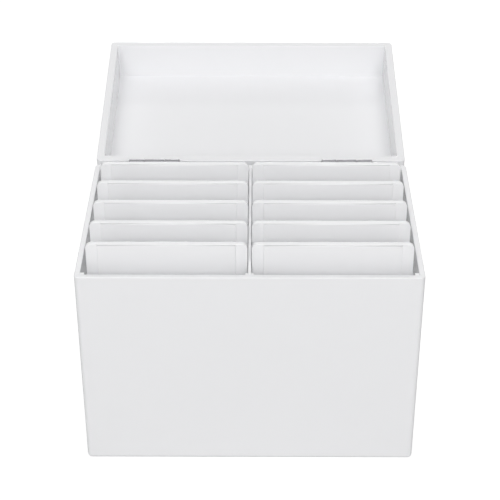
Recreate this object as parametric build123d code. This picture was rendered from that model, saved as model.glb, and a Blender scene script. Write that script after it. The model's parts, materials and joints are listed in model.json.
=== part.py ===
from build123d import *
import os

# Storage box with a lift-up lid and two columns of upright lash tiles.
# Millimetres. The origin is the centre of the underside, +Z is up, and the front faces -Y.

# Box body
WIDTH = 185.0
DEPTH = 122.0
HEIGHT = 124.0
WALL = 3.0
EDGE_RADIUS = 2.5
RIM_RADIUS = 0.5

# Lid
LID_HEIGHT = 28.0
LID_WALL = 4.5
LID_PANEL = 3.8
LID_GAP = 0.3
LID_OPEN_ANGLE = 169.0

# Dividing panel between the two columns, and the strips that hold its ends
DIVIDER = 1.6
PANEL_TOP = 123.8
CLEAT_WIDTH = 1.4
CLEAT_DEPTH = 2.0
BEAD = 2.2

# Lash tiles
TILE_ROWS = 5
TILE_PITCH = 21.8
TILE_FRONT = 13.0
TILE_WIDTH = 86.1
TILE_TOP = 135.7
TILE_SEAT = 4.4
TILE_CORNER = 3.0
PLATE = 2.5
PAD = 1.5
PAD_SIDE_INSET = 6.4
PAD_END_INSET = 0.2
TILE_EDGE = 0.35
COLUMN_GAP = 2.3

# Slotted guides that hold the tiles upright
GUIDE_TOP = 108.0
GUIDE_SEAT = 4.3
GUIDE_END = 2.6
SIDE_GUIDE = 3.2
SIDE_SLOT_DEPTH = 1.5
MIDDLE_GUIDE = 1.6
SLOT_SLACK = 0.4

# Hinges
HINGE_X = 57.5
HINGE_LENGTH = 30.0
HINGE_OFFSET = 2.1
BARREL_RADIUS = 2.0
PIN_RADIUS = 1.0
PIN_SLACK = 0.03
PIN_PROUD = 0.3
LEAF = 0.9
LEAF_REACH = 13.5
LEAF_CORNER = 1.5
END_KNUCKLE = 8.9
KNUCKLE_GAP = 0.3
NOTCH = 2.2

# Screws through the hinge leaves
SCREW_SPACING = 18.0
SCREW_OFFSET = 8.5
SHANK_RADIUS = 1.25
SHANK_LENGTH = 3.5
HEAD_RADIUS = 2.5
HEAD_HEIGHT = 1.7
HEAD_EDGE = 0.5
RECESS_SPAN = 3.0
RECESS_WIDTH = 0.7
RECESS_DEPTH = 0.9
HOLE_SLACK = 0.05

# How far a cut runs past the face that it opens
CUT_MARGIN = 1.0

# Planes that the sizes above fix
RIGHT = WIDTH / 2
BACK = DEPTH / 2
INNER_X = RIGHT - WALL
INNER_Y = BACK - WALL
LID_RIM = HEIGHT + LID_GAP
LID_TOP = LID_RIM + LID_HEIGHT
LID_CEILING = LID_TOP - LID_PANEL
HINGE_Y = BACK + HINGE_OFFSET
HINGE_Z = HEIGHT + LID_GAP / 2
HINGE_AXIS = Axis((0, HINGE_Y, HINGE_Z), (-1, 0, 0))


def block(x0, x1, y0, y1, z0, z1):
    """A box between two opposite corners."""
    size = Box(abs(x1 - x0), abs(y1 - y0), abs(z1 - z0))
    return Pos((x0 + x1) / 2, (y0 + y1) / 2, (z0 + z1) / 2) * size


def mirrored(shape):
    """The same shape on the other side of the centre plane."""
    return shape.mirror(Plane.YZ)


def write(name, shape):
    """Write one sub-part as a STEP file."""
    export_step(shape, f"parts/{name}.step")


def write_pair(name, shape):
    """Write a right-hand piece and its mirror image."""
    write(f"right_{name}", shape)
    write(f"left_{name}", mirrored(shape))


def tray(z_closed, z_open, wall, panel):
    """A five-sided tray with rounded outer edges, from its closed side to its open rim."""
    body = block(-RIGHT, RIGHT, -BACK, BACK, z_closed, z_open)
    closed_face = body.faces().sort_by(lambda face: abs(face.center().Z - z_closed))[0]
    body = fillet(body.edges().filter_by(Axis.Z) + closed_face.edges(), EDGE_RADIUS)
    inward = 1 if z_open > z_closed else -1
    floor = z_closed + inward * panel
    beyond = z_open + inward * CUT_MARGIN
    body -= block(wall - RIGHT, RIGHT - wall, wall - BACK, BACK - wall, floor, beyond)
    rim = body.faces().filter_by(Axis.Z).sort_by(lambda face: abs(face.center().Z - z_open))[0]
    return fillet(rim.edges(), RIM_RADIUS)


def walls(shell, wall, z0, z1):
    """The four walls of a tray between two levels: front, back, left and right."""
    inner_x = RIGHT - wall
    inner_y = BACK - wall
    front = shell & block(-RIGHT, RIGHT, -BACK, -inner_y, z0, z1)
    back = shell & block(-RIGHT, RIGHT, inner_y, BACK, z0, z1)
    left = shell & block(-RIGHT, -inner_x, -inner_y, inner_y, z0, z1)
    right = shell & block(inner_x, RIGHT, -inner_y, inner_y, z0, z1)
    return {"front": front, "back": back, "left": left, "right": right}


def corner_beads():
    """The strips in the right-hand corners of the box, front and back."""
    x0 = INNER_X - BEAD
    front = block(x0, INNER_X, -INNER_Y, BEAD - INNER_Y, WALL, PANEL_TOP)
    back = block(x0, INNER_X, INNER_Y - BEAD, INNER_Y, WALL, PANEL_TOP)
    return {"front": front, "back": back}


def divider_cleats():
    """The strips on the right of the divider's ends, front and back."""
    x0 = DIVIDER / 2
    x1 = x0 + CLEAT_WIDTH
    front = block(x0, x1, -INNER_Y, CLEAT_DEPTH - INNER_Y, WALL, PANEL_TOP)
    back = block(x0, x1, INNER_Y - CLEAT_DEPTH, INNER_Y, WALL, PANEL_TOP)
    return {"front": front, "back": back}


def row_front(row):
    """How far back the front of a tile in this row is, as a Y coordinate."""
    return -BACK + TILE_FRONT + row * TILE_PITCH


def tile_plate(row):
    """The flat plate of a right-hand tile, with rounded corners and softened edges."""
    y0 = row_front(row) + PAD
    x0 = COLUMN_GAP / 2
    plate = block(x0, x0 + TILE_WIDTH, y0, y0 + PLATE, TILE_SEAT, TILE_TOP)
    plate = fillet(plate.edges().filter_by(Axis.Y), TILE_CORNER)
    faces = plate.faces().filter_by(Axis.Y)
    return fillet(faces[0].edges() + faces[-1].edges(), TILE_EDGE)


def tile_pad(row):
    """The raised sheet on the front of a right-hand tile's plate."""
    y0 = row_front(row)
    x0 = COLUMN_GAP / 2 + PAD_SIDE_INSET
    x1 = COLUMN_GAP / 2 + TILE_WIDTH - PAD_SIDE_INSET
    pad = block(x0, x1, y0, y0 + PAD, TILE_SEAT + PAD_END_INSET, TILE_TOP - PAD_END_INSET)
    front = pad.faces().sort_by(Axis.Y)[0]
    return fillet(front.edges(), TILE_EDGE)


def slots(x0, x1):
    """The cuts that the tiles' edges drop into, one for each row."""
    cuts = []
    for row in range(TILE_ROWS):
        y0 = row_front(row) + PAD - SLOT_SLACK
        y1 = row_front(row) + PAD + PLATE + SLOT_SLACK
        cuts.append(block(x0, x1, y0, y1, GUIDE_SEAT, GUIDE_TOP + CUT_MARGIN))
    return cuts


def side_guide():
    """The slotted strip on the right wall's inner face, whose slots are grooves."""
    end = INNER_Y - GUIDE_END
    inner = INNER_X - SIDE_GUIDE
    strip = block(inner, INNER_X, -end, end, WALL, GUIDE_TOP)
    for cut in slots(inner - CUT_MARGIN, inner + SIDE_SLOT_DEPTH):
        strip -= cut
    return strip


def middle_guide():
    """The slotted strip on the right face of the divider, whose slots go right through it."""
    end = INNER_Y - GUIDE_END
    face = DIVIDER / 2
    strip = block(face, face + MIDDLE_GUIDE, -end, end, WALL, GUIDE_TOP)
    for cut in slots(face - CUT_MARGIN, face + MIDDLE_GUIDE + CUT_MARGIN):
        strip -= cut
    return strip


def knuckle_spans():
    """Where the first end knuckle, the middle one and the last one lie along the right hinge."""
    x0 = HINGE_X - HINGE_LENGTH / 2
    x3 = HINGE_X + HINGE_LENGTH / 2
    x1 = x0 + END_KNUCKLE
    x2 = x3 - END_KNUCKLE
    return (x0, x1), (x1 + KNUCKLE_GAP, x2 - KNUCKLE_GAP), (x2, x3)


def knuckle(x0, x1):
    """One tube of a hinge barrel between two places along the hinge."""
    tube = Cylinder(BARREL_RADIUS, x1 - x0) - Cylinder(PIN_RADIUS + PIN_SLACK, x1 - x0)
    return Pos((x0 + x1) / 2, HINGE_Y, HINGE_Z) * Rot(0, 90, 0) * tube


def leaf_plate(upwards):
    """A leaf's flat plate against the back, below the pin, or above it in the closed lid."""
    half = HINGE_LENGTH / 2
    z_end = HINGE_Z + LEAF_REACH * upwards
    plate = block(HINGE_X - half, HINGE_X + half, BACK, BACK + LEAF, HINGE_Z, z_end)
    corners = plate.edges().filter_by(Axis.Y).sort_by(lambda edge: -upwards * edge.center().Z)
    plate = fillet(corners[:2], LEAF_CORNER)
    hole = Cylinder(SHANK_RADIUS + HOLE_SLACK, 2 * (LEAF + CUT_MARGIN))
    for x in screw_places():
        plate -= Pos(x, BACK, HINGE_Z + SCREW_OFFSET * upwards) * Rot(90, 0, 0) * hole
    return plate


def relief(span, upwards):
    """The room that a leaf's plate leaves round the other leaf's knuckle."""
    x0, x1 = span[0] - KNUCKLE_GAP, span[1] + KNUCKLE_GAP
    y0, y1 = BACK - CUT_MARGIN, BACK + LEAF + CUT_MARGIN
    return block(x0, x1, y0, y1, HINGE_Z - CUT_MARGIN * upwards, HINGE_Z + NOTCH * upwards)


def leaf(upwards, own, others):
    """One leaf: its plate, the knuckles rolled from it, and notches for the other leaf's."""
    shape = leaf_plate(upwards)
    for span in others:
        shape -= relief(span, upwards)
    for span in own:
        shape += knuckle(*span)
    return shape


def hinge_pin():
    """The pin through the three knuckles, with softened ends."""
    pin = Cylinder(PIN_RADIUS, HINGE_LENGTH + 2 * PIN_PROUD)
    pin = fillet(pin.edges().filter_by(GeomType.CIRCLE), PIN_PROUD)
    return Pos(HINGE_X, HINGE_Y, HINGE_Z) * Rot(0, 90, 0) * pin


def screw_places():
    """Where the two screws of a leaf are along the hinge."""
    return HINGE_X - SCREW_SPACING / 2, HINGE_X + SCREW_SPACING / 2


def screw():
    """A pan-head screw with a cross recess. Its head rests on Z = 0 and its shank points down."""
    head = extrude(Circle(HEAD_RADIUS), HEAD_HEIGHT)
    top_edge = head.edges().filter_by(GeomType.CIRCLE).sort_by(Axis.Z)[-1]
    head = fillet(top_edge, HEAD_EDGE)
    shank = Pos(0, 0, -SHANK_LENGTH / 2) * Cylinder(SHANK_RADIUS, SHANK_LENGTH)
    bar = Pos(0, 0, HEAD_HEIGHT) * Box(RECESS_SPAN, RECESS_WIDTH, 2 * RECESS_DEPTH)
    return head + shank - bar - Rot(0, 0, 90) * bar


def leaf_screws(upwards):
    """The two screws of a leaf, in the back wall of the box or of the closed lid."""
    z = HINGE_Z + SCREW_OFFSET * upwards
    return Compound([Pos(x, BACK + LEAF, z) * Rot(-90, 0, 0) * screw() for x in screw_places()])


def screw_holes(upwards):
    """The blind holes in a back wall for both hinges' screws."""
    depth = SHANK_LENGTH - LEAF + HOLE_SLACK
    z = HINGE_Z + SCREW_OFFSET * upwards
    hole = Cylinder(SHANK_RADIUS + HOLE_SLACK, 2 * depth)
    holes = []
    for x in screw_places():
        placed = Pos(x, BACK, z) * Rot(90, 0, 0) * hole
        holes += [placed, mirrored(placed)]
    return holes


def opened(shape):
    """A piece of the closed lid, laid back to where it rests when it is open."""
    return shape.rotate(HINGE_AXIS, LID_OPEN_ANGLE)


def make_box():
    """The box body: its walls, bottom, divider and the strips in its corners."""
    shell = tray(0, HEIGHT, WALL, WALL)
    sides = walls(shell, WALL, 0, HEIGHT)
    for hole in screw_holes(-1):
        sides["back"] -= hole
    for side, wall in sides.items():
        write(f"{side}_wall", wall)
    write("bottom_panel", shell & block(-INNER_X, INNER_X, -INNER_Y, INNER_Y, 0, WALL))
    half = DIVIDER / 2
    write("centre_divider", block(-half, half, -INNER_Y, INNER_Y, WALL, PANEL_TOP))
    for end, bead in corner_beads().items():
        write_pair(f"{end}_corner_bead", bead)
    for end, cleat in divider_cleats().items():
        write_pair(f"{end}_divider_cleat", cleat)
    write_pair("wall_guide", side_guide())
    write_pair("divider_guide", middle_guide())


def make_tiles():
    """Two columns of tiles, numbered from the front."""
    for row in range(TILE_ROWS):
        plate = tile_plate(row)
        pad = tile_pad(row)
        write(f"tile_right_{row + 1}_plate", plate)
        write(f"tile_right_{row + 1}_pad", pad)
        write(f"tile_left_{row + 1}_plate", mirrored(plate))
        write(f"tile_left_{row + 1}_pad", mirrored(pad))


def make_lid():
    """The lid: four walls and a top panel, laid back open."""
    shell = tray(LID_TOP, LID_RIM, LID_WALL, LID_PANEL)
    sides = walls(shell, LID_WALL, LID_RIM, LID_CEILING)
    for hole in screw_holes(1):
        sides["back"] -= hole
    for side, wall in sides.items():
        write(f"lid_{side}_wall", opened(wall))
    top = shell & block(-RIGHT, RIGHT, -BACK, BACK, LID_CEILING, LID_TOP)
    write("lid_top_panel", opened(top))


def make_hinges():
    """Two butt hinges on the back, with their pins and screws."""
    first, middle, last = knuckle_spans()
    write_pair("hinge_box_leaf", leaf(-1, [first, last], [middle]))
    write_pair("hinge_lid_leaf", opened(leaf(1, [middle], [first, last])))
    write_pair("hinge_pin", hinge_pin())
    write_pair("hinge_box_screws", leaf_screws(-1))
    write_pair("hinge_lid_screws", opened(leaf_screws(1)))


os.makedirs("parts", exist_ok=True)
make_box()
make_tiles()
make_lid()
make_hinges()
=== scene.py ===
"""Looks of the lash tile storage box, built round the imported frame. Metres, in the frame's own axes."""
from __future__ import annotations

import json
import logging
import math
from dataclasses import dataclass
from enum import Enum
from typing import Callable

import bmesh
import bpy
from mathutils import Matrix, Vector


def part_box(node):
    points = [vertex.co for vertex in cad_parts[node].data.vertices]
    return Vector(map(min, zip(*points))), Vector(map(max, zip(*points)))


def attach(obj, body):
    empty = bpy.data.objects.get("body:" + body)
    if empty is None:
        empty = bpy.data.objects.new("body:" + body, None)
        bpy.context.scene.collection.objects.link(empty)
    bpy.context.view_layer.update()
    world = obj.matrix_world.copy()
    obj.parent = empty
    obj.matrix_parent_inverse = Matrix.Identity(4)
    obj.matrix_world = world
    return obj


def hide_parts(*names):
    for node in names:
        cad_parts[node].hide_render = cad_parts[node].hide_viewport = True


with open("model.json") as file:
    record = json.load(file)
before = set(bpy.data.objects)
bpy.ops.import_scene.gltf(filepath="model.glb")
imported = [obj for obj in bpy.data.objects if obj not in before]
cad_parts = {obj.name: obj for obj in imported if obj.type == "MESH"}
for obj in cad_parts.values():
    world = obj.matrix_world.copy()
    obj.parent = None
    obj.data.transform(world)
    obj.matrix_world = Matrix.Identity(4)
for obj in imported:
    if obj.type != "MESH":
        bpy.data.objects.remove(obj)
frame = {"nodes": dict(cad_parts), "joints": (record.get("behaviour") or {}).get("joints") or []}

log = logging.getLogger("lash_box")

MM = 0.001
X, Y, Z = range(3)
# Places this close count as the same place
TOUCH = 0.01 * MM
# Vertices this close are merged
WELD = 0.001 * MM
# Vertices this close to a cutting plane lie on it
ON_PLANE = 1e-8
QUARTER_TURN = math.pi / 2
SHARP_ANGLE = math.radians(40)
SMOOTH_ANGLE = math.radians(35)
PURE_WHITE = (1.0, 1.0, 1.0, 1.0)
Corners = tuple[Vector, Vector]
Outline = list[tuple[float, float]]
Triple = tuple[float, float, float]
Socket = bpy.types.NodeSocket


class Place(Enum):
    """A choice of places that nodes are named after."""

    @property
    def word(self) -> str:
        """The place as the nodes spell it."""
        return self.name.lower()


class Side(Place):
    """Which half of the box a piece belongs to. The value is the sign of its X."""

    LEFT = -1
    RIGHT = 1


class Where(Place):
    """The four walls of the box or the lid, with the axis across them and its sign."""

    FRONT = (Y, -1)
    BACK = (Y, 1)
    LEFT = (X, -1)
    RIGHT = (X, 1)


class NodeWriter:
    """Adds nodes to a tree and feeds them. The prefix is what the type names of its nodes begin with."""

    prefix = ""

    def __init__(self, tree: bpy.types.NodeTree) -> None:
        """Write in this tree."""
        self.tree = tree

    def feed(self, socket: Socket, value: object) -> None:
        """Feed an input.

        Args:
            socket: The input.
            value: The socket that feeds it, or its value.
        """
        if isinstance(value, Socket):
            self.tree.links.new(value, socket)
        else:
            socket.default_value = value

    def add(self, kind: str, settings: dict[str, object] | None = None, **inputs: object) -> bpy.types.Node:
        """Add a node.

        Args:
            kind: The node's type, without the prefix.
            settings: Properties of the node itself.
            inputs: Socket names, with _ for a space, and their values or the sockets that feed them.

        Returns:
            The new node.
        """
        node = self.tree.nodes.new(self.prefix + kind)
        for key, value in (settings or {}).items():
            setattr(node, key, value)
        for key, value in inputs.items():
            self.feed(node.inputs[key.replace("_", " ")], value)
        return node

    def math(self, operation: str, *values: object) -> Socket:
        """Put values through one arithmetic step.

        Args:
            operation: The step's name in Blender.
            values: Numbers or sockets.

        Returns:
            The result's socket.
        """
        node = self.tree.nodes.new("ShaderNodeMath")
        node.operation = operation
        for socket, value in zip(node.inputs, values):
            self.feed(socket, value)
        return node.outputs["Value"]


# Materials


class ShaderWriter(NodeWriter):
    """Writes the nodes of one material or of the world."""

    prefix = "ShaderNode"

    def __init__(self, tree: bpy.types.ShaderNodeTree) -> None:
        """Start with an empty tree."""
        super().__init__(tree)
        self.tree.nodes.clear()

    def ranged(self, value: Socket, low: float, high: float) -> Socket:
        """Spread a 0 to 1 value over a range."""
        return self.add("MapRange", Value=value, To_Min=low, To_Max=high).outputs["Result"]

    def noise(self, vector: Socket, scale: float, detail: float) -> Socket:
        """Noise of this many cycles a metre, as a 0 to 1 value."""
        return self.add("TexNoise", Vector=vector, Scale=scale, Detail=detail).outputs["Fac"]

    def stretched(self, vector: Socket, scale: Triple) -> Socket:
        """Places multiplied axis by axis, so that noise at them is drawn out."""
        return self.add("Mapping", Vector=vector, Scale=scale).outputs["Vector"]

    def toned(self, colour: Triple, tone: Socket) -> Socket:
        """A colour made lighter or darker by a factor."""
        return self.add("VectorMath", {"operation": "SCALE"}, Vector=colour, Scale=tone).outputs["Vector"]

    def seen_or_mirrored(self) -> Socket:
        """1 for what the camera sees straight or in a reflection, and 0 for what only lights the box."""
        path = self.add("LightPath")
        return self.math("MAXIMUM", path.outputs["Is Camera Ray"], path.outputs["Is Glossy Ray"])


def new_material(name: str) -> tuple[bpy.types.Material, ShaderWriter]:
    """Start a material.

    Args:
        name: The material's name.

    Returns:
        The material, with an empty tree, and the writer of that tree.
    """
    material = bpy.data.materials.new(name)
    material.use_nodes = True
    return material, ShaderWriter(material.node_tree)


@dataclass(frozen=True)
class AcrylicFinish:
    """Cast sheet or moulded acrylic, white through and through, with a polished surface."""

    name: str
    colour: Triple
    tone_change: float
    roughness: tuple[float, float]
    haze_scale: float
    waviness: float
    wave_scale: float
    scratch: float
    scratch_scale: float
    gloss_layer: float
    cloud_scale: float = 14.0
    wave_height: float = 1.0 * MM
    scratch_depth: float = 0.05 * MM
    scratch_stretch: Triple = (1.0, 6.0, 0.35)
    refraction: float = 1.49
    gloss_roughness: float = 0.03

    def material(self) -> bpy.types.Material:
        """Build the sheet: faint tone clouds, hazy and clear patches, slow waves and fine scratches.

        Returns:
            The material.
        """
        material, nodes = new_material(self.name)
        place = nodes.add("TexCoord").outputs["Object"]
        clouds = nodes.noise(place, self.cloud_scale, detail=2.0)
        tone = nodes.ranged(clouds, 1.0 - self.tone_change, 1.0 + self.tone_change)
        haze = nodes.noise(place, self.haze_scale, detail=3.0)
        waves = nodes.noise(place, self.wave_scale, detail=1.0)
        wavy = nodes.add("Bump", Strength=self.waviness, Distance=self.wave_height, Height=waves)
        drawn = nodes.stretched(place, self.scratch_stretch)
        scratches = nodes.noise(drawn, self.scratch_scale, detail=4.0)
        scratched = nodes.add(
            "Bump", Strength=self.scratch, Distance=self.scratch_depth, Height=scratches,
            Normal=wavy.outputs["Normal"])
        surface = nodes.add(
            "BsdfPrincipled", Base_Color=nodes.toned(self.colour, tone),
            Roughness=nodes.ranged(haze, *self.roughness), IOR=self.refraction,
            Normal=scratched.outputs["Normal"], Coat_Weight=self.gloss_layer,
            Coat_Roughness=self.gloss_roughness, Coat_Normal=wavy.outputs["Normal"])
        nodes.add("OutputMaterial", Surface=surface.outputs["BSDF"])
        return material


@dataclass(frozen=True)
class SteelFinish:
    """Nickel-toned steel with drawn or turned marks along X."""

    name: str
    colour: Triple
    roughness: tuple[float, float]
    stretch: Triple
    grain_scale: float
    grain: float
    grain_depth: float = 0.03 * MM
    tone: tuple[float, float] = (0.86, 1.1)
    speck_scale: float = 700.0
    speck_dullness: float = 0.12

    def material(self) -> bpy.types.Material:
        """Build the metal: long grain in its roughness, its tone and its surface, with duller specks.

        Returns:
            The material.
        """
        material, nodes = new_material(self.name)
        place = nodes.add("TexCoord").outputs["Object"]
        grain = nodes.noise(nodes.stretched(place, self.stretch), self.grain_scale, detail=5.0)
        specks = nodes.noise(place, self.speck_scale, detail=2.0)
        streaks = nodes.ranged(grain, *self.roughness)
        rough = nodes.add("Bump", Strength=self.grain, Distance=self.grain_depth, Height=grain)
        surface = nodes.add(
            "BsdfPrincipled", Base_Color=nodes.toned(self.colour, nodes.ranged(grain, *self.tone)),
            Metallic=1.0, Roughness=nodes.math("MULTIPLY_ADD", specks, self.speck_dullness, streaks),
            Normal=rough.outputs["Normal"])
        nodes.add("OutputMaterial", Surface=surface.outputs["BSDF"])
        return material


WHITE = (0.925, 0.927, 0.940)
# A lighter copy of the walls' white for the tiles, their pads and the strips inside the box. Its extra
# lightness is painted light that lifts the shade between the tiles and inside the box.
SHADE_LIFTING_WHITE = (0.945, 0.947, 0.958)
SHEET = AcrylicFinish(
    "polished_sheet", WHITE, tone_change=0.006, roughness=(0.07, 0.12), haze_scale=60.0, waviness=0.05,
    wave_scale=22.0, scratch=0.05, scratch_scale=420.0, gloss_layer=0.2)
INNER_SHEET = AcrylicFinish(
    "inner_sheet", SHADE_LIFTING_WHITE, tone_change=0.006, roughness=(0.10, 0.16), haze_scale=80.0, waviness=0.05,
    wave_scale=22.0, scratch=0.08, scratch_scale=420.0, gloss_layer=0.0)
TILE_SHEET = AcrylicFinish(
    "tile_sheet", SHADE_LIFTING_WHITE, tone_change=0.006, roughness=(0.10, 0.16), haze_scale=90.0, waviness=0.04,
    wave_scale=26.0, scratch=0.08, scratch_scale=520.0, gloss_layer=0.1)
PAD_SHEET = AcrylicFinish(
    "pad_sheet", SHADE_LIFTING_WHITE, tone_change=0.008, roughness=(0.17, 0.26), haze_scale=120.0, waviness=0.04,
    wave_scale=26.0, scratch=0.14, scratch_scale=640.0, gloss_layer=0.0)
# The hinge and pin steel have a dark base colour. It is partly the steel's own grey and partly painted dark
# reflection, standing in for the darker surroundings a real barrel mirrors, since the sky these mirror is
# white.
HINGE_STEEL = SteelFinish(
    "brushed_hinge_steel", (0.24, 0.24, 0.25), roughness=(0.24, 0.4), stretch=(0.06, 1.0, 1.0),
    grain_scale=5200.0, grain=0.35)
PIN_STEEL = SteelFinish(
    "drawn_pin_steel", (0.3, 0.3, 0.31), roughness=(0.2, 0.32), stretch=(0.04, 1.0, 1.0),
    grain_scale=4200.0, grain=0.25)
SCREW_STEEL = SteelFinish(
    "turned_screw_steel", (0.6, 0.6, 0.61), roughness=(0.16, 0.3), stretch=(1.0, 1.0, 1.0),
    grain_scale=2600.0, grain=0.2)


# Meshes


def new_piece(name: str, mesh: bpy.types.Mesh) -> bpy.types.Object:
    """Put a mesh in the scene as an object at the origin.

    Args:
        name: The object's name.
        mesh: Its mesh.

    Returns:
        The new object.
    """
    piece = bpy.data.objects.new(name, mesh)
    bpy.context.scene.collection.objects.link(piece)
    return piece


def piece_from(name: str, bm: bmesh.types.BMesh) -> bpy.types.Object:
    """Put an editable mesh in the scene.

    Args:
        name: The piece's name.
        bm: The mesh, which is used up.

    Returns:
        The new piece.
    """
    mesh = bpy.data.meshes.new(name)
    bm.to_mesh(mesh)
    bm.free()
    return new_piece(name, mesh)


def baked(piece: bpy.types.Object) -> bpy.types.Object:
    """Turn a piece's modifiers into plain mesh.

    Args:
        piece: An object with modifiers.

    Returns:
        The same object, with the result as its mesh and no modifiers.
    """
    bpy.context.view_layer.update()
    graph = bpy.context.evaluated_depsgraph_get()
    mesh = bpy.data.meshes.new_from_object(piece.evaluated_get(graph))
    old = piece.data
    piece.modifiers.clear()
    piece.data = mesh
    mesh.name = piece.name
    bpy.data.meshes.remove(old)
    return piece


def block_mesh(low: Vector, high: Vector) -> bmesh.types.BMesh:
    """Make a plain box.

    Args:
        low: Its lowest corner.
        high: Its highest corner.

    Returns:
        The box as an editable mesh.
    """
    bm = bmesh.new()
    bmesh.ops.create_cube(bm, size=1.0)
    bmesh.ops.scale(bm, vec=high - low, verts=bm.verts)
    bmesh.ops.translate(bm, vec=(low + high) / 2, verts=bm.verts)
    return bm


def round_edges(bm: bmesh.types.BMesh, wanted: Callable[[bmesh.types.BMEdge], bool], radius: float,
                segments: int) -> None:
    """Round the edges that a test picks.

    Args:
        bm: The mesh.
        wanted: The test.
        radius: The radius of every rounded edge.
        segments: How many strips make up a rounded edge.
    """
    edges = [edge for edge in bm.edges if wanted(edge)]
    bmesh.ops.bevel(bm, geom=edges, offset=radius, segments=segments, profile=0.5, affect="EDGES")


def divide(bm: bmesh.types.BMesh, axis: int, place: float, gone: int = 0) -> None:
    """Cut a mesh along a plane, take away what lies on one side and close it there.

    Args:
        bm: The mesh.
        axis: The axis across the plane.
        place: Where the plane is on that axis.
        gone: The side that goes: 1 above the plane, -1 below it, and 0 to leave only a line of edges.
    """
    point, normal = Vector(), Vector()
    point[axis] = place
    normal[axis] = gone or 1
    everything = bm.verts[:] + bm.edges[:] + bm.faces[:]
    bmesh.ops.bisect_plane(
        bm, geom=everything, dist=ON_PLANE, plane_co=point, plane_no=normal, clear_outer=gone != 0)
    rim = [edge for edge in bm.edges if edge.is_boundary]
    bmesh.ops.holes_fill(bm, edges=rim, sides=0)


def soften_piece(piece: bpy.types.Object, width: float, segments: int, by_weight: bool) -> bpy.types.Object:
    """Round a piece's edges and weight its normals by face area, so that flat faces look flat.

    Args:
        piece: The piece.
        width: How wide a rounded edge is.
        segments: How many strips make up a rounded edge.
        by_weight: Whether the edges' marks say how far each is rounded. If not, every sharp edge is.

    Returns:
        The same piece, as plain mesh.
    """
    piece.data.shade_smooth()
    bevel = piece.modifiers.new("soft_edges", "BEVEL")
    bevel.width = width
    bevel.segments = segments
    bevel.limit_method = "WEIGHT" if by_weight else "ANGLE"
    bevel.angle_limit = SHARP_ANGLE
    bevel.use_clamp_overlap = True
    normals = piece.modifiers.new("flat_faces", "WEIGHTED_NORMAL")
    normals.mode = "FACE_AREA"
    normals.weight = 100
    normals.keep_sharp = True
    return baked(piece)


def softened(name: str, bm: bmesh.types.BMesh, width: Callable[[Vector], float], full: float,
             segments: int = 3) -> bpy.types.Object:
    """Finish a mesh with its sharp edges softened.

    Args:
        name: The piece's name.
        bm: The mesh, which is used up.
        width: Gives the softened width at an edge's middle.
        full: The greatest width, which is an edge weight of one.
        segments: How many strips make up a softened edge.

    Returns:
        The finished piece.
    """
    layer = bm.edges.layers.float.new("bevel_weight_edge")
    for edge in bm.edges:
        if len(edge.link_faces) == 2 and edge.calc_face_angle(0.0) > SHARP_ANGLE:
            middle = (edge.verts[0].co + edge.verts[1].co) / 2
            edge[layer] = width(middle) / full
            edge.smooth = edge[layer] > 0.0
    bmesh.ops.recalc_face_normals(bm, faces=bm.faces)
    return soften_piece(piece_from(name, bm), full, segments, by_weight=True)


def soft_block(name: str, corners: Corners, softness: float) -> bpy.types.Object:
    """A block between two corners with all its edges softened alike."""
    return softened(name, block_mesh(*corners), lambda middle: softness, softness)


def rounded_corner(centre: tuple[float, float], radius: float, start: float, steps: int = 4) -> Outline:
    """Make a quarter turn of outline points, clockwise.

    Args:
        centre: The middle of the turn.
        radius: Its radius.
        start: The angle of its first point, in degrees.
        steps: How many lengths make up the turn.

    Returns:
        The points.
    """
    turns = [math.radians(start - 90.0 * step / steps) for step in range(steps + 1)]
    return [(centre[0] + radius * math.cos(turn), centre[1] + radius * math.sin(turn)) for turn in turns]


def rod_outline(length: float, radius: float, edge: float, inner: float) -> Outline:
    """Draw the half section of a rod or a tube with rounded ends, from its left end.

    Args:
        length: Its length.
        radius: Its outer radius.
        edge: The radius of the rounding.
        inner: Its inner radius, which is 0 for a rod.

    Returns:
        The points.
    """
    left = rounded_corner((edge, radius - edge), edge, 180.0)
    right = rounded_corner((length - edge, radius - edge), edge, 90.0)
    return [(0.0, inner), *left, *right, (length, inner)]


def shaded(piece: bpy.types.Object) -> bpy.types.Object:
    """Shade a piece's round faces smooth and keep its corners sharp.

    Args:
        piece: The piece.

    Returns:
        The same piece.
    """
    piece.data.shade_smooth()
    piece.data.set_sharp_from_angle(angle=SMOOTH_ANGLE)
    return piece


def turned(name: str, outline: Outline, closed: bool, steps: int = 40) -> bpy.types.Object:
    """Turn an outline about the X axis.

    Args:
        name: The piece's name.
        outline: Points along X, each with its distance from the axis.
        closed: Whether the last point joins the first, as on a tube.
        steps: How many flats go round.

    Returns:
        The turned piece, with its round faces shaded smooth.
    """
    bm = bmesh.new()
    points = [bm.verts.new((along, away, 0.0)) for along, away in outline]
    pairs = list(zip(points, points[1:] + points[:1]))
    edges = [bm.edges.new(pair) for pair in (pairs if closed else pairs[:-1])]
    bmesh.ops.spin(bm, geom=points + edges, cent=(0, 0, 0), axis=(1, 0, 0), angle=2 * math.pi, steps=steps)
    bmesh.ops.remove_doubles(bm, verts=bm.verts, dist=WELD)
    bmesh.ops.recalc_face_normals(bm, faces=bm.faces)
    return shaded(piece_from(name, bm))


def install(piece: bpy.types.Object, body: str, node: str, material: bpy.types.Material) -> None:
    """Dress a finished piece, let it stand for its node and ride on its body.

    Args:
        piece: The piece.
        body: The body that it moves with.
        node: The node of the frame that it stands for.
        material: Its only material.
    """
    piece.data.materials.clear()
    piece.data.materials.append(material)
    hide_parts(node)
    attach(piece, body)
    log.info("%s stands for %s on %s", piece.name, node, body)


# Geometry node trees


def row_inputs(label: str) -> dict[str, str]:
    """The inputs that a tree needs for a row of something."""
    return {f"First {label}": "Vector", f"{label} Spacing": "Float", f"{label} Count": "Int"}


def row_values(label: str, first: Triple | Vector, spacing: float, count: int) -> dict[str, object]:
    """The values of those inputs."""
    return {f"First {label}": first, f"{label} Spacing": spacing, f"{label} Count": count}


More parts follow.
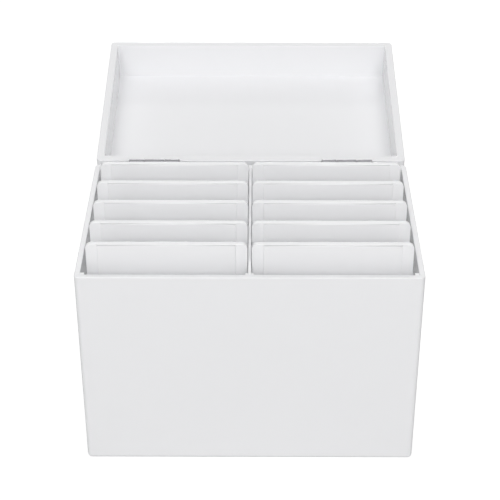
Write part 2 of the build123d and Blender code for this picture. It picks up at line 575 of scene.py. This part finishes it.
class TreeWriter(NodeWriter):
    """Writes one geometry node tree with named inputs."""

    prefix = "GeometryNode"

    def __init__(self, name: str, inputs: dict[str, str]) -> None:
        """Start a tree.

        Args:
            name: The tree's name.
            inputs: Each input's name and its socket type, without "NodeSocket".
        """
        super().__init__(bpy.data.node_groups.new(name, "GeometryNodeTree"))
        for label, kind in inputs.items():
            self.tree.interface.new_socket(label, in_out="INPUT", socket_type="NodeSocket" + kind)
        self.tree.interface.new_socket("Geometry", in_out="OUTPUT", socket_type="NodeSocketGeometry")
        self.source = self.tree.nodes.new("NodeGroupInput")

    def given(self, label: str) -> Socket:
        """The socket of a named input."""
        return self.source.outputs[label]

    def model(self, label: str) -> Socket:
        """The geometry of the object in a named input."""
        return self.add("ObjectInfo", Object=self.given(label)).outputs["Geometry"]

    def block(self, label: str) -> Socket:
        """A block, centred on the origin, whose size is a named input."""
        return self.add("MeshCube", Size=self.given(label)).outputs["Mesh"]

    def vector(self, *parts: object) -> Socket:
        """Join values into a vector.

        Args:
            parts: Its three numbers or sockets, in order.

        Returns:
            The vector's socket.
        """
        node = self.tree.nodes.new("ShaderNodeCombineXYZ")
        for socket, value in zip(node.inputs, parts):
            self.feed(socket, value)
        return node.outputs["Vector"]

    def moved(self, geometry: Socket, **inputs: object) -> Socket:
        """Geometry after a Translation, a Rotation or both."""
        return self.add("Transform", Geometry=geometry, **inputs).outputs["Geometry"]

    def join(self, *parts: Socket) -> Socket:
        """Put geometries together.

        Args:
            parts: The geometries.

        Returns:
            All of them as one.
        """
        node = self.add("JoinGeometry")
        for part in parts:
            self.feed(node.inputs["Geometry"], part)
        return node.outputs["Geometry"]

    def cut(self, body: Socket, *cutters: Socket) -> Socket:
        """Take cutters out of a body.

        Args:
            body: The solid to cut.
            cutters: The solids to take out of it.

        Returns:
            What is left.
        """
        node = self.add("MeshBoolean", {"operation": "DIFFERENCE", "solver": "EXACT"}, Mesh_1=body)
        for cutter in cutters:
            self.feed(node.inputs["Mesh 2"], cutter)
        return node.outputs["Mesh"]

    def row(self, model: Socket, label: str, along: int = X) -> Socket:
        """Repeat a model in a row, placed by the tree's inputs for it.

        Args:
            model: The geometry to repeat.
            label: What the row is of, as in row_inputs.
            along: The axis that it runs along.

        Returns:
            The realised copies.
        """
        step = [0.0, 0.0, 0.0]
        step[along] = self.given(f"{label} Spacing")
        line = self.add(
            "MeshLine", Count=self.given(f"{label} Count"), Start_Location=self.given(f"First {label}"),
            Offset=self.vector(*step))
        copies = self.add("InstanceOnPoints", Points=line.outputs["Mesh"], Instance=model)
        return self.add("RealizeInstances", Geometry=copies.outputs["Instances"]).outputs["Geometry"]

    def finish(self, geometry: Socket) -> bpy.types.GeometryNodeTree:
        """Set the material and link the output.

        Args:
            geometry: What the tree makes.

        Returns:
            The finished tree.
        """
        painted = self.add("SetMaterial", Geometry=geometry, Material=self.given("Finish"))
        result = self.tree.nodes.new("NodeGroupOutput")
        self.feed(result.inputs["Geometry"], painted.outputs["Geometry"])
        return self.tree


def run_tree(name: str, tree: bpy.types.GeometryNodeTree, values: dict[str, object]) -> bpy.types.Object:
    """Make a piece with a tree.

    Args:
        name: The piece's name.
        tree: The tree that makes it.
        values: A value for each named input.

    Returns:
        The piece, baked to plain mesh.
    """
    piece = new_piece(name, bpy.data.meshes.new(name))
    modifier = piece.modifiers.new("maker", "NODES")
    modifier.node_group = tree
    sockets = {item.name: item.identifier for item in tree.interface.items_tree if item.in_out == "INPUT"}
    for label, value in values.items():
        modifier[sockets[label]] = value
    return baked(piece)


def tile_plate_tree(corner_points: int = 8) -> bpy.types.GeometryNodeTree:
    """Write the tree for a flat upright plate with rounded corners, its lower left front at the origin.

    Args:
        corner_points: How many points round off a corner.

    Returns:
        The tree.
    """
    made = TreeWriter("tile_plate_maker", {
        "Width": "Float", "Height": "Float", "Thickness": "Float", "Corner": "Float", "Finish": "Material"})
    width, height = made.given("Width"), made.given("Height")
    outline = made.add("CurvePrimitiveQuadrilateral", Width=width, Height=height)
    rounded = made.add(
        "FilletCurve", {"mode": "POLY"}, Curve=outline.outputs["Curve"], Radius=made.given("Corner"),
        Count=corner_points)
    face = made.add("FillCurve", {"mode": "NGONS"}, Curve=rounded.outputs["Curve"])
    upright = made.moved(face.outputs["Mesh"], Rotation=(QUARTER_TURN, 0.0, 0.0))
    thick = made.add(
        "ExtrudeMesh", Mesh=upright, Offset=made.vector(0.0, 1.0, 0.0),
        Offset_Scale=made.given("Thickness"), Individual=False)
    front = made.add("FlipFaces", Mesh=upright)
    joined = made.join(thick.outputs["Mesh"], front.outputs["Mesh"])
    closed = made.add("MergeByDistance", Geometry=joined, Distance=WELD)
    middle = made.vector(made.math("MULTIPLY", width, 0.5), 0.0, made.math("MULTIPLY", height, 0.5))
    return made.finish(made.moved(closed.outputs["Geometry"], Translation=middle))


def slotted_guide_tree() -> bpy.types.GeometryNodeTree:
    """Write the tree for an upright strip with a row of slots cut down from its top, one for each tile.

    Returns:
        The tree.
    """
    made = TreeWriter("slotted_guide_maker", {
        "Middle": "Vector", "Size": "Vector", "Slot Size": "Vector", **row_inputs("Slot"),
        "Finish": "Material"})
    strip = made.moved(made.block("Size"), Translation=made.given("Middle"))
    slots = made.row(made.block("Slot Size"), "Slot", along=Y)
    return made.finish(made.cut(strip, slots))


def leaf_tree(hole_sides: int = 32) -> bpy.types.GeometryNodeTree:
    """Write the tree for a hinge leaf: it notches and drills the plate and sets the rolled knuckles on it.

    Args:
        hole_sides: How many flats go round a screw hole.

    Returns:
        The tree.
    """
    made = TreeWriter("hinge_leaf_maker", {
        "Plate": "Object", "Knuckle": "Object", "Notch Size": "Vector", "Hole Radius": "Float",
        "Hole Depth": "Float", **row_inputs("Knuckle"), **row_inputs("Notch"), **row_inputs("Hole"),
        "Finish": "Material"})
    drill = made.add(
        "MeshCylinder", Vertices=hole_sides, Radius=made.given("Hole Radius"),
        Depth=made.given("Hole Depth"))
    notches = made.row(made.block("Notch Size"), "Notch")
    holes = made.row(made.moved(drill.outputs["Mesh"], Rotation=(QUARTER_TURN, 0.0, 0.0)), "Hole")
    plate = made.cut(made.model("Plate"), notches, holes)
    return made.finish(made.join(plate, made.row(made.model("Knuckle"), "Knuckle")))


def screws_tree() -> bpy.types.GeometryNodeTree:
    """Write the tree for a leaf's screws: it cuts the cross recess into one turned screw and repeats it.

    Returns:
        The tree.
    """
    made = TreeWriter("screws_maker", {
        "Screw": "Object", "Recess Size": "Vector", "Recess Place": "Vector", **row_inputs("Screw"),
        "Finish": "Material"})
    bar = made.block("Recess Size")
    cross = [made.moved(bar, Rotation=(0.0, turn, 0.0), Translation=made.given("Recess Place"))
             for turn in (0.0, QUARTER_TURN)]
    return made.finish(made.row(made.cut(made.model("Screw"), *cross), "Screw"))


# The frame's facts


@dataclass(frozen=True)
class LidSwing:
    """How the lid hangs: its hinge line and how far it lies back."""

    pivot: Vector
    axis: Vector
    angle: float

    @classmethod
    def from_frame(cls) -> LidSwing:
        """Read the lid's joint."""
        joint = next(j for j in frame["joints"] if j["name"] == "lid_hinge")
        return cls(Vector(joint["pos_m"]), Vector(joint["axis"]), -math.radians(joint["range_deg"][0]))

    def opening(self) -> Matrix:
        """The move from shut to lying back."""
        turn = Matrix.Rotation(self.angle, 4, self.axis)
        return Matrix.Translation(self.pivot) @ turn @ Matrix.Translation(-self.pivot)

    def shut_box(self, node: str) -> Corners:
        """Find where one of the lid's nodes is while the lid is shut.

        Args:
            node: The node's name.

        Returns:
            Its lowest and its highest corner there.
        """
        closing = self.opening().inverted()
        places = [closing @ vertex.co for vertex in frame["nodes"][node].data.vertices]
        low = Vector(min(place[axis] for place in places) for axis in (X, Y, Z))
        high = Vector(max(place[axis] for place in places) for axis in (X, Y, Z))
        return low, high


# Sub-assemblies


@dataclass
class Tray:
    """A five-sided box of sheet with rounded outer edges: the box body, or the lid while shut.

    Its edges are rounded a hair more than the solids are, which keeps it inside them.
    """

    low: Vector
    high: Vector
    wall: float
    opens_up: bool
    edge_radius: float = 2.52 * MM
    edge_segments: int = 8
    rim_radius: float = 0.5 * MM
    seam: float = 0.03 * MM

    @property
    def rim(self) -> float:
        """The level of the open side."""
        return self.high.z if self.opens_up else self.low.z

    @property
    def closed_side(self) -> float:
        """The level of the closed side's outer face."""
        return self.low.z if self.opens_up else self.high.z

    def rounded_block(self) -> bmesh.types.BMesh:
        """Make the outer shape, rounded on its uprights and round its closed side.

        Returns:
            The shape as a solid, editable mesh.
        """
        bm = block_mesh(self.low, self.high)

        def is_outer(edge: bmesh.types.BMEdge) -> bool:
            """Whether an edge stands upright or runs round the closed side."""
            levels = [abs(vertex.co.z - self.closed_side) for vertex in edge.verts]
            return max(levels) < TOUCH or max(levels) - min(levels) > self.wall

        round_edges(bm, is_outer, self.edge_radius, self.edge_segments)
        return bm

    def edge_width(self, middle: Vector) -> float:
        """Say how wide an edge is softened: full along the rim, and a hair's width elsewhere.

        Args:
            middle: The edge's middle.

        Returns:
            The width.
        """
        past_x = abs(middle.x) - (self.high.x - self.wall)
        past_y = abs(middle.y) - (self.high.y - self.wall)
        across_joint = abs(past_y) < TOUCH and past_x > TOUCH
        on_rim = abs(middle.z - self.rim) < TOUCH
        return self.rim_radius if on_rim and not across_joint else self.seam

    def finished(self, name: str, bm: bmesh.types.BMesh) -> bpy.types.Object:
        """A piece that was cut from the outer shape, with its edges softened."""
        return softened(name, bm, self.edge_width, self.rim_radius)

    def wall_piece(self, name: str, where: Where, corners: Corners) -> bpy.types.Object:
        """Cut one wall from the outer shape.

        Args:
            name: The piece's name.
            where: Which wall it is.
            corners: The wall's lowest and highest corner.

        Returns:
            The finished wall.
        """
        low, high = corners
        axis, sign = where.value
        bm = self.rounded_block()
        divide(bm, axis, (high if sign < 0 else low)[axis], gone=-sign)
        if axis == Y:
            for side in Side:
                divide(bm, X, side.value * (self.high.x - self.wall))
        else:
            divide(bm, Y, low.y, gone=-1)
            divide(bm, Y, high.y, gone=1)
        if not self.opens_up:
            divide(bm, Z, high.z, gone=1)
        return self.finished(name, bm)


@dataclass
class BoxBody:
    """The box itself: walls, bottom, divider, corner strips and slotted guides."""

    sheet: bpy.types.Material
    inner: bpy.types.Material
    body: str = "box"
    softness: float = 0.15 * MM
    slot_slack: float = 0.4 * MM
    seat_slack: float = 0.1 * MM
    groove: float = 1.5 * MM
    slots: int = 5
    strips: tuple[str, ...] = (
        "front_corner_bead", "back_corner_bead", "front_divider_cleat", "back_divider_cleat")

    def build(self) -> None:
        """Make and dress every piece of the box body."""
        self.build_walls()
        self.build_panels()
        self.build_strips()
        self.build_guides()

    def build_walls(self) -> None:
        """Make the four walls with their shared rounding."""
        low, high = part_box("front_wall")
        tray = Tray(low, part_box("back_wall")[1], wall=high.y - low.y, opens_up=True)
        for where in Where:
            node = f"{where.word}_wall"
            piece = tray.wall_piece(f"{node}_sheet", where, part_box(node))
            install(piece, self.body, node, self.sheet)

    def build_panels(self) -> None:
        """Make the bottom and the divider."""
        bottom = soft_block("bottom_sheet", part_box("bottom_panel"), self.softness)
        install(bottom, self.body, "bottom_panel", self.sheet)
        divider = soft_block("divider_sheet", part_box("centre_divider"), self.softness)
        install(divider, self.body, "centre_divider", self.sheet)

    def build_strips(self) -> None:
        """Make the beads in the corners and the cleats that hold the divider's ends."""
        for side in Side:
            for part in self.strips:
                node = f"{side.word}_{part}"
                piece = soft_block(f"{node}_strip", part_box(node), self.softness)
                install(piece, self.body, node, self.inner)

    def build_guides(self) -> None:
        """Make the slotted strips on the side walls and on the divider."""
        tree = slotted_guide_tree()
        for side in Side:
            for part in ("wall_guide", "divider_guide"):
                node = f"{side.word}_{part}"
                piece = self.guide(tree, node, side)
                install(piece, self.body, node, self.inner)

    def guide(self, tree: bpy.types.GeometryNodeTree, node: str, side: Side) -> bpy.types.Object:
        """Make one slotted strip, with its slots round the edges of the tiles beside it.

        Args:
            tree: The tree that makes a strip.
            node: The strip's node.
            side: The column that it holds.

        Returns:
            The strip.
        """
        low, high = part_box(node)
        plate_low, plate_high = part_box(f"tile_{side.word}_1_plate")
        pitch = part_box(f"tile_{side.word}_2_plate")[0].y - plate_low.y
        seat = plate_low.z - self.seat_slack
        on_wall = "wall_guide" in node
        groove = self.groove if on_wall else high.x - low.x
        face = side.value * min(abs(low.x), abs(high.x))
        slot_middle = face if on_wall else face + side.value * groove / 2
        slot_width = plate_high.y - plate_low.y + 2 * self.slot_slack
        slot_size = Vector((2 * groove, slot_width, 2 * (high.z - seat)))
        first = Vector((slot_middle, (plate_low.y + plate_high.y) / 2, high.z))
        piece = run_tree(f"{node}_strip", tree, {
            "Middle": (low + high) / 2, "Size": high - low, "Slot Size": slot_size,
            **row_values("Slot", first, pitch, self.slots), "Finish": self.inner})
        return soften_piece(piece, self.softness, segments=2, by_weight=False)


@dataclass
class Lid:
    """The lid: built shut, then laid back."""

    sheet: bpy.types.Material
    swing: LidSwing
    body: str = "lid"

    def build(self) -> None:
        """Make and dress the four walls and the top panel."""
        low, high = self.swing.shut_box("lid_front_wall")
        top_low, top_high = self.swing.shut_box("lid_top_panel")
        tray = Tray(low, top_high, wall=high.y - low.y, opens_up=False)
        for where in Where:
            node = f"lid_{where.word}_wall"
            self.lay_back(tray.wall_piece(f"{node}_sheet", where, self.swing.shut_box(node)), node)
        bm = tray.rounded_block()
        divide(bm, Z, top_low.z, gone=-1)
        self.lay_back(tray.finished("lid_top_sheet", bm), "lid_top_panel")

    def lay_back(self, piece: bpy.types.Object, node: str) -> None:
        """Open a shut piece and let it stand for its node."""
        piece.data.transform(self.swing.opening())
        install(piece, self.body, node, self.sheet)


@dataclass
class Tiles:
    """The lash tiles: in each column a row of upright plates, each with a raised pad on its front."""

    plate_finish: bpy.types.Material
    pad_finish: bpy.types.Material
    rows: int = 5
    corner: float = 3.0 * MM
    edge: float = 0.35 * MM

    def build(self) -> None:
        """Make every tile."""
        tree = tile_plate_tree()
        for side in Side:
            for row in range(1, self.rows + 1):
                body = f"tile_{side.word}_{row}"
                self.build_plate(tree, body)
                self.build_pad(body)

    def build_plate(self, tree: bpy.types.GeometryNodeTree, body: str) -> None:
        """Make a tile's plate.

        Args:
            tree: The tree that makes a plate.
            body: The tile's body.
        """
        low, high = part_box(f"{body}_plate")
        size = high - low
        plate = run_tree(f"{body}_plate_sheet", tree, {
            "Width": size.x, "Height": size.z, "Thickness": size.y, "Corner": self.corner,
            "Finish": self.plate_finish})
        plate.data.transform(Matrix.Translation(low))
        plate = soften_piece(plate, self.edge, segments=3, by_weight=False)
        install(plate, body, f"{body}_plate", self.plate_finish)

    def build_pad(self, body: str) -> None:
        """Make a tile's pad, with the edges of its front softened.

        Args:
            body: The tile's body.
        """
        low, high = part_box(f"{body}_pad")

        def width(middle: Vector) -> float:
            """How wide an edge is softened."""
            return self.edge if middle.y < low.y + TOUCH else 0.0

        pad = softened(f"{body}_pad_sheet", block_mesh(low, high), width, self.edge)
        install(pad, body, f"{body}_pad", self.pad_finish)


@dataclass
class Hinge:
    """One butt hinge: a leaf on the box, one on the lid, the pin through their knuckles and four screws.

    Where a method takes upwards, it is -1 for what is on the box and 1 for what is on the shut lid.
    """

    side: Side
    swing: LidSwing
    finishes: dict[str, bpy.types.Material]
    leaf: float = 0.9 * MM
    leaf_corner: float = 1.5 * MM
    leaf_corner_segments: int = 6
    softness: float = 0.12 * MM
    end_knuckle: float = 8.9 * MM
    knuckle_gap: float = 0.3 * MM
    knuckle_edge: float = 0.25 * MM
    bore: float = 1.03 * MM
    notch: float = 2.2 * MM
    cutter_depth: float = 3.6 * MM
    leaf_screws: int = 2
    screw_spacing: float = 18.0 * MM
    screw_offset: float = 8.5 * MM
    hole_radius: float = 1.3 * MM
    pin_edge: float = 0.3 * MM
    shank_radius: float = 1.25 * MM
    shank_length: float = 3.5 * MM
    shank_tip: float = 0.4 * MM
    head_radius: float = 2.5 * MM
    head_height: float = 1.7 * MM
    head_edge: float = 0.5 * MM
    recess_span: float = 3.0 * MM
    recess_width: float = 0.7 * MM
    recess_depth: float = 0.9 * MM

    def build(self) -> None:
        """Make the hinge's five pieces."""
        leaves, screws = leaf_tree(), screws_tree()
        for body, upwards in (("box", -1), ("lid", 1)):
            node = f"{self.side.word}_hinge_{body}_leaf"
            self.place(self.leaf_piece(leaves, node, upwards), node, body, "hinge_steel")
            node = f"{self.side.word}_hinge_{body}_screws"
            self.place(self.screw_pair(screws, node, upwards), node, body, "screw_steel")
        node = f"{self.side.word}_hinge_pin"
        self.place(self.pin_piece(node), node, "box", "pin_steel")

    @property
    def box_leaf(self) -> Corners:
        """The corners of the leaf on the box, which has the barrel's full length and reach."""
        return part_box(f"{self.side.word}_hinge_box_leaf")

    @property
    def back(self) -> float:
        """The plane of the outer back faces, which the leaves lie on."""
        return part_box("back_wall")[1].y

    def knuckle(self, name: str, length: float) -> bpy.types.Object:
        """One rolled knuckle, from its own left end at the pin's line."""
        radius = self.box_leaf[1].y - self.swing.pivot.y
        return turned(name, rod_outline(length, radius, self.knuckle_edge, self.bore), closed=True)

    def plate(self, name: str, upwards: int) -> bpy.types.Object:
        """Make a leaf's flat plate with its far corners rounded, before its notches and holes are cut.

        Args:
            name: The model's name.
            upwards: Which leaf it is of.

        Returns:
            The plate.
        """
        leaf_low, leaf_high = self.box_leaf
        near = self.swing.pivot.z
        far = near + upwards * (near - leaf_low.z)
        low = Vector((leaf_low.x, self.back, min(near, far)))
        high = Vector((leaf_high.x, self.back + self.leaf, max(near, far)))
        bm = block_mesh(low, high)

        def is_far_corner(edge: bmesh.types.BMEdge) -> bool:
            """Whether an edge runs through the plate at its far end."""
            first, second = (vertex.co for vertex in edge.verts)
            return abs(first.y - second.y) > self.leaf / 2 and abs(first.z - far) < TOUCH

        round_edges(bm, is_far_corner, self.leaf_corner, self.leaf_corner_segments)
        return softened(name, bm, lambda middle: self.softness, self.softness, segments=2)

    def first_screw(self, upwards: int, lift: float) -> Triple:
        """Find the place of a leaf's left screw.

        Args:
            upwards: Which leaf it is in.
            lift: How far off the walls' back faces the place is.

        Returns:
            The place.
        """
        low, high = self.box_leaf
        left = (low.x + high.x - self.screw_spacing) / 2
        return left, self.back + lift, self.swing.pivot.z + upwards * self.screw_offset

    def leaf_piece(self, tree: bpy.types.GeometryNodeTree, node: str, upwards: int) -> bpy.types.Object:
        """Make a whole leaf: the box's has the two end knuckles, and the lid's has the middle one.

        Args:
            tree: The tree that makes a leaf.
            node: The leaf's node.
            upwards: Which leaf it is.

        Returns:
            The leaf.
        """
        left, right = (corner.x for corner in self.box_leaf)
        pivot = self.swing.pivot
        on_box = upwards < 0
        end, middle = self.end_knuckle, right - left - 2 * (self.end_knuckle + self.knuckle_gap)
        between_ends = right - left - end
        middle_left = left + end + self.knuckle_gap
        own, other = (end, middle) if on_box else (middle, end)
        knuckles, notches = (2, 1) if on_box else (1, 2)
        first_knuckle = (left if on_box else middle_left, pivot.y, pivot.z)
        first_notch = (middle_left + middle / 2 if on_box else left + end / 2, self.back, pivot.z)
        plate = self.plate(f"{node}_plate", upwards)
        knuckle = self.knuckle(f"{node}_knuckle", own)
        piece = run_tree(f"{node}_metal", tree, {
            "Plate": plate, "Knuckle": knuckle,
            "Notch Size": (other + 2 * self.knuckle_gap, self.cutter_depth, 2 * self.notch),
            "Hole Radius": self.hole_radius, "Hole Depth": self.cutter_depth,
            **row_values("Knuckle", first_knuckle, between_ends, knuckles),
            **row_values("Notch", first_notch, between_ends, notches),
            **row_values("Hole", self.first_screw(upwards, 0.0), self.screw_spacing, self.leaf_screws),
            "Finish": self.finishes["hinge_steel"]})
        for model in (plate, knuckle):
            bpy.data.objects.remove(model)
        return shaded(piece)

    def pin_piece(self, node: str) -> bpy.types.Object:
        """Make the pin, with rounded ends that stand a little out of the barrel.

        Args:
            node: The pin's node.

        Returns:
            The pin.
        """
        low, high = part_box(node)
        length = high.x - low.x
        outline = rod_outline(length, (high.z - low.z) / 2, self.pin_edge, inner=0.0)
        pin = turned(f"{node}_rod", outline, closed=False)
        pin.data.transform(Matrix.Translation((low + high) / 2 - Vector((length / 2, 0.0, 0.0))))
        return pin

    def screw_pair(self, tree: bpy.types.GeometryNodeTree, node: str, upwards: int) -> bpy.types.Object:
        """Make a leaf's two screws, their pan heads on the leaf and a cross recess in each.

        Args:
            tree: The tree that makes a pair of screws.
            node: The pair's node.
            upwards: Which leaf they are in.

        Returns:
            The pair.
        """
        tip, edge = self.shank_tip, self.head_edge
        outline = [
            (-self.shank_length, 0.0), (-self.shank_length, self.shank_radius - tip),
            (tip - self.shank_length, self.shank_radius), (0.0, self.shank_radius), (0.0, self.head_radius)]
        outline += rounded_corner((self.head_height - edge, self.head_radius - edge), edge, 90.0)
        outline.append((self.head_height, 0.0))
        model = turned(f"{node}_model", outline, closed=False)
        model.data.transform(Matrix.Rotation(QUARTER_TURN, 4, "Z"))
        piece = run_tree(f"{node}_metal", tree, {
            "Screw": model, "Recess Size": (self.recess_span, 2 * self.recess_depth, self.recess_width),
            "Recess Place": (0.0, self.head_height, 0.0),
            **row_values("Screw", self.first_screw(upwards, self.leaf), self.screw_spacing, self.leaf_screws),
            "Finish": self.finishes["screw_steel"]})
        bpy.data.objects.remove(model)
        return shaded(piece)

    def place(self, piece: bpy.types.Object, node: str, body: str, slot: str) -> None:
        """Let a piece stand for its node, laid back first if it is on the lid.

        Args:
            piece: The piece, made with the lid shut.
            node: Its node.
            body: Its body.
            slot: The slot of its steel.
        """
        if body == "lid":
            piece.data.transform(self.swing.opening())
        install(piece, body, node, self.finishes[slot])


# Studio


@dataclass(frozen=True)
class Lamp:
    """A square soft lamp aimed at the box.

    Its turn is the angle round the box from the front, and its rise the angle above the floor, both in
    degrees. Its level is how bright it makes a white card that faces it.
    """

    name: str
    turn: float
    rise: float
    distance: float
    size: float
    level: float
    aim: Vector = Vector((0.0, 0.0, 0.1))

    def build(self) -> None:
        """Put the lamp up."""
        turn, rise = math.radians(self.turn), math.radians(self.rise)
        reach = math.cos(rise)
        towards = Vector((reach * math.sin(turn), -reach * math.cos(turn), math.sin(rise)))
        data = bpy.data.lights.new(self.name, "AREA")
        data.shape = "SQUARE"
        data.size = self.size
        data.energy = self.level * (math.pi * self.distance) ** 2
        lamp = bpy.data.objects.new(self.name, data)
        facing = (-towards).to_track_quat("-Z", "Y").to_matrix().to_4x4()
        lamp.matrix_world = Matrix.Translation(self.aim + self.distance * towards) @ facing
        bpy.context.scene.collection.objects.link(lamp)


@dataclass
class Studio:
    """Floor, light and camera."""

    camera_place: Vector = Vector((0.00339, -0.68047, 0.53649))
    pitch: float = 32.531
    yaw: float = 0.291
    roll: float = -0.02
    focal_pixels: float = 1418.9
    frame_pixels: float = 500.0
    sensor: float = 36.0
    sky: float = 0.25
    floor_reach: float = 6.0
    floor_gap: float = 0.1 * MM
    floor_bounce: float = 0.58
    floor_seen: float = 0.8
    floor_glow_share: float = 0.55
    floor_glow: float = 1.42
    lamps: tuple[Lamp, ...] = (
        Lamp("left_front_lamp", turn=-26.0, rise=12.0, distance=3.0, size=1.6, level=0.085),
        Lamp("right_front_lamp", turn=26.0, rise=12.0, distance=3.0, size=1.6, level=0.06),
        Lamp("front_panel", turn=0.0, rise=44.0, distance=3.0, size=2.2, level=0.62),
        Lamp("low_back_lamp", turn=180.0, rise=9.0, distance=2.5, size=0.7, level=0.45),
        Lamp("back_panel", turn=180.0, rise=55.0, distance=2.0, size=2.2, level=0.19),
    )

    def build(self) -> None:
        """Set up the stage."""
        self.build_camera()
        self.build_world()
        self.build_floor()
        for lamp in self.lamps:
            lamp.build()
        bpy.context.scene.view_settings.view_transform = "Standard"

    def build_camera(self) -> None:
        """Set up the camera at the photograph's viewing angle."""
        data = bpy.data.cameras.new("camera")
        data.sensor_width = self.sensor
        data.lens = self.sensor * self.focal_pixels / self.frame_pixels
        camera = bpy.data.objects.new("camera", data)
        bpy.context.scene.collection.objects.link(camera)
        turn = Matrix.Rotation(math.radians(self.yaw), 4, "Z")
        tilt = Matrix.Rotation(math.radians(90 - self.pitch), 4, "X")
        lean = Matrix.Rotation(math.radians(self.roll), 4, "Z")
        camera.matrix_world = Matrix.Translation(self.camera_place) @ turn @ tilt @ lean
        bpy.context.scene.camera = camera

    def build_world(self) -> None:
        """Set up a dim pale sky, which the camera and reflections see as white."""
        world = bpy.data.worlds.new("pale_sky")
        world.use_nodes = True
        nodes = ShaderWriter(world.node_tree)
        strength = nodes.ranged(nodes.seen_or_mirrored(), self.sky, 1.0)
        sky = nodes.add("Background", Color=PURE_WHITE, Strength=strength)
        nodes.add("OutputWorld", Surface=sky.outputs["Background"])
        bpy.context.scene.world = world

    def build_floor(self) -> None:
        """Lay a plain white floor that keeps the box's soft shadow. It glows for the camera alone."""
        bm = bmesh.new()
        bmesh.ops.create_grid(bm, x_segments=1, y_segments=1, size=self.floor_reach)
        floor = piece_from("floor", bm)
        material, nodes = new_material("floor_white")
        seen = nodes.seen_or_mirrored()
        paint = nodes.add("BsdfDiffuse", Color=nodes.ranged(seen, self.floor_bounce, self.floor_seen))
        glow = nodes.add("Emission", Color=PURE_WHITE, Strength=self.floor_glow)
        camera = nodes.add("LightPath").outputs["Is Camera Ray"]
        mixed = nodes.add("MixShader", Fac=nodes.ranged(camera, 0.0, self.floor_glow_share))
        nodes.feed(mixed.inputs[1], paint.outputs["BSDF"])
        nodes.feed(mixed.inputs[2], glow.outputs["Emission"])
        nodes.add("OutputMaterial", Surface=mixed.outputs["Shader"])
        floor.data.materials.append(material)
        floor.data.transform(Matrix.Translation((0.0, 0.0, -self.floor_gap)))


def main() -> None:
    """Build the box, its lid, its tiles and its hinges, and set the stage."""
    logging.basicConfig(level=logging.INFO)
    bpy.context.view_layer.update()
    Studio().build()
    sheet = SHEET.material()
    BoxBody(sheet, INNER_SHEET.material()).build()
    swing = LidSwing.from_frame()
    Lid(sheet, swing).build()
    Tiles(TILE_SHEET.material(), PAD_SHEET.material()).build()
    steels = {
        "hinge_steel": HINGE_STEEL.material(), "pin_steel": PIN_STEEL.material(),
        "screw_steel": SCREW_STEEL.material()}
    for side in Side:
        Hinge(side, swing, steels).build()


if __name__ == "__main__":
    main()
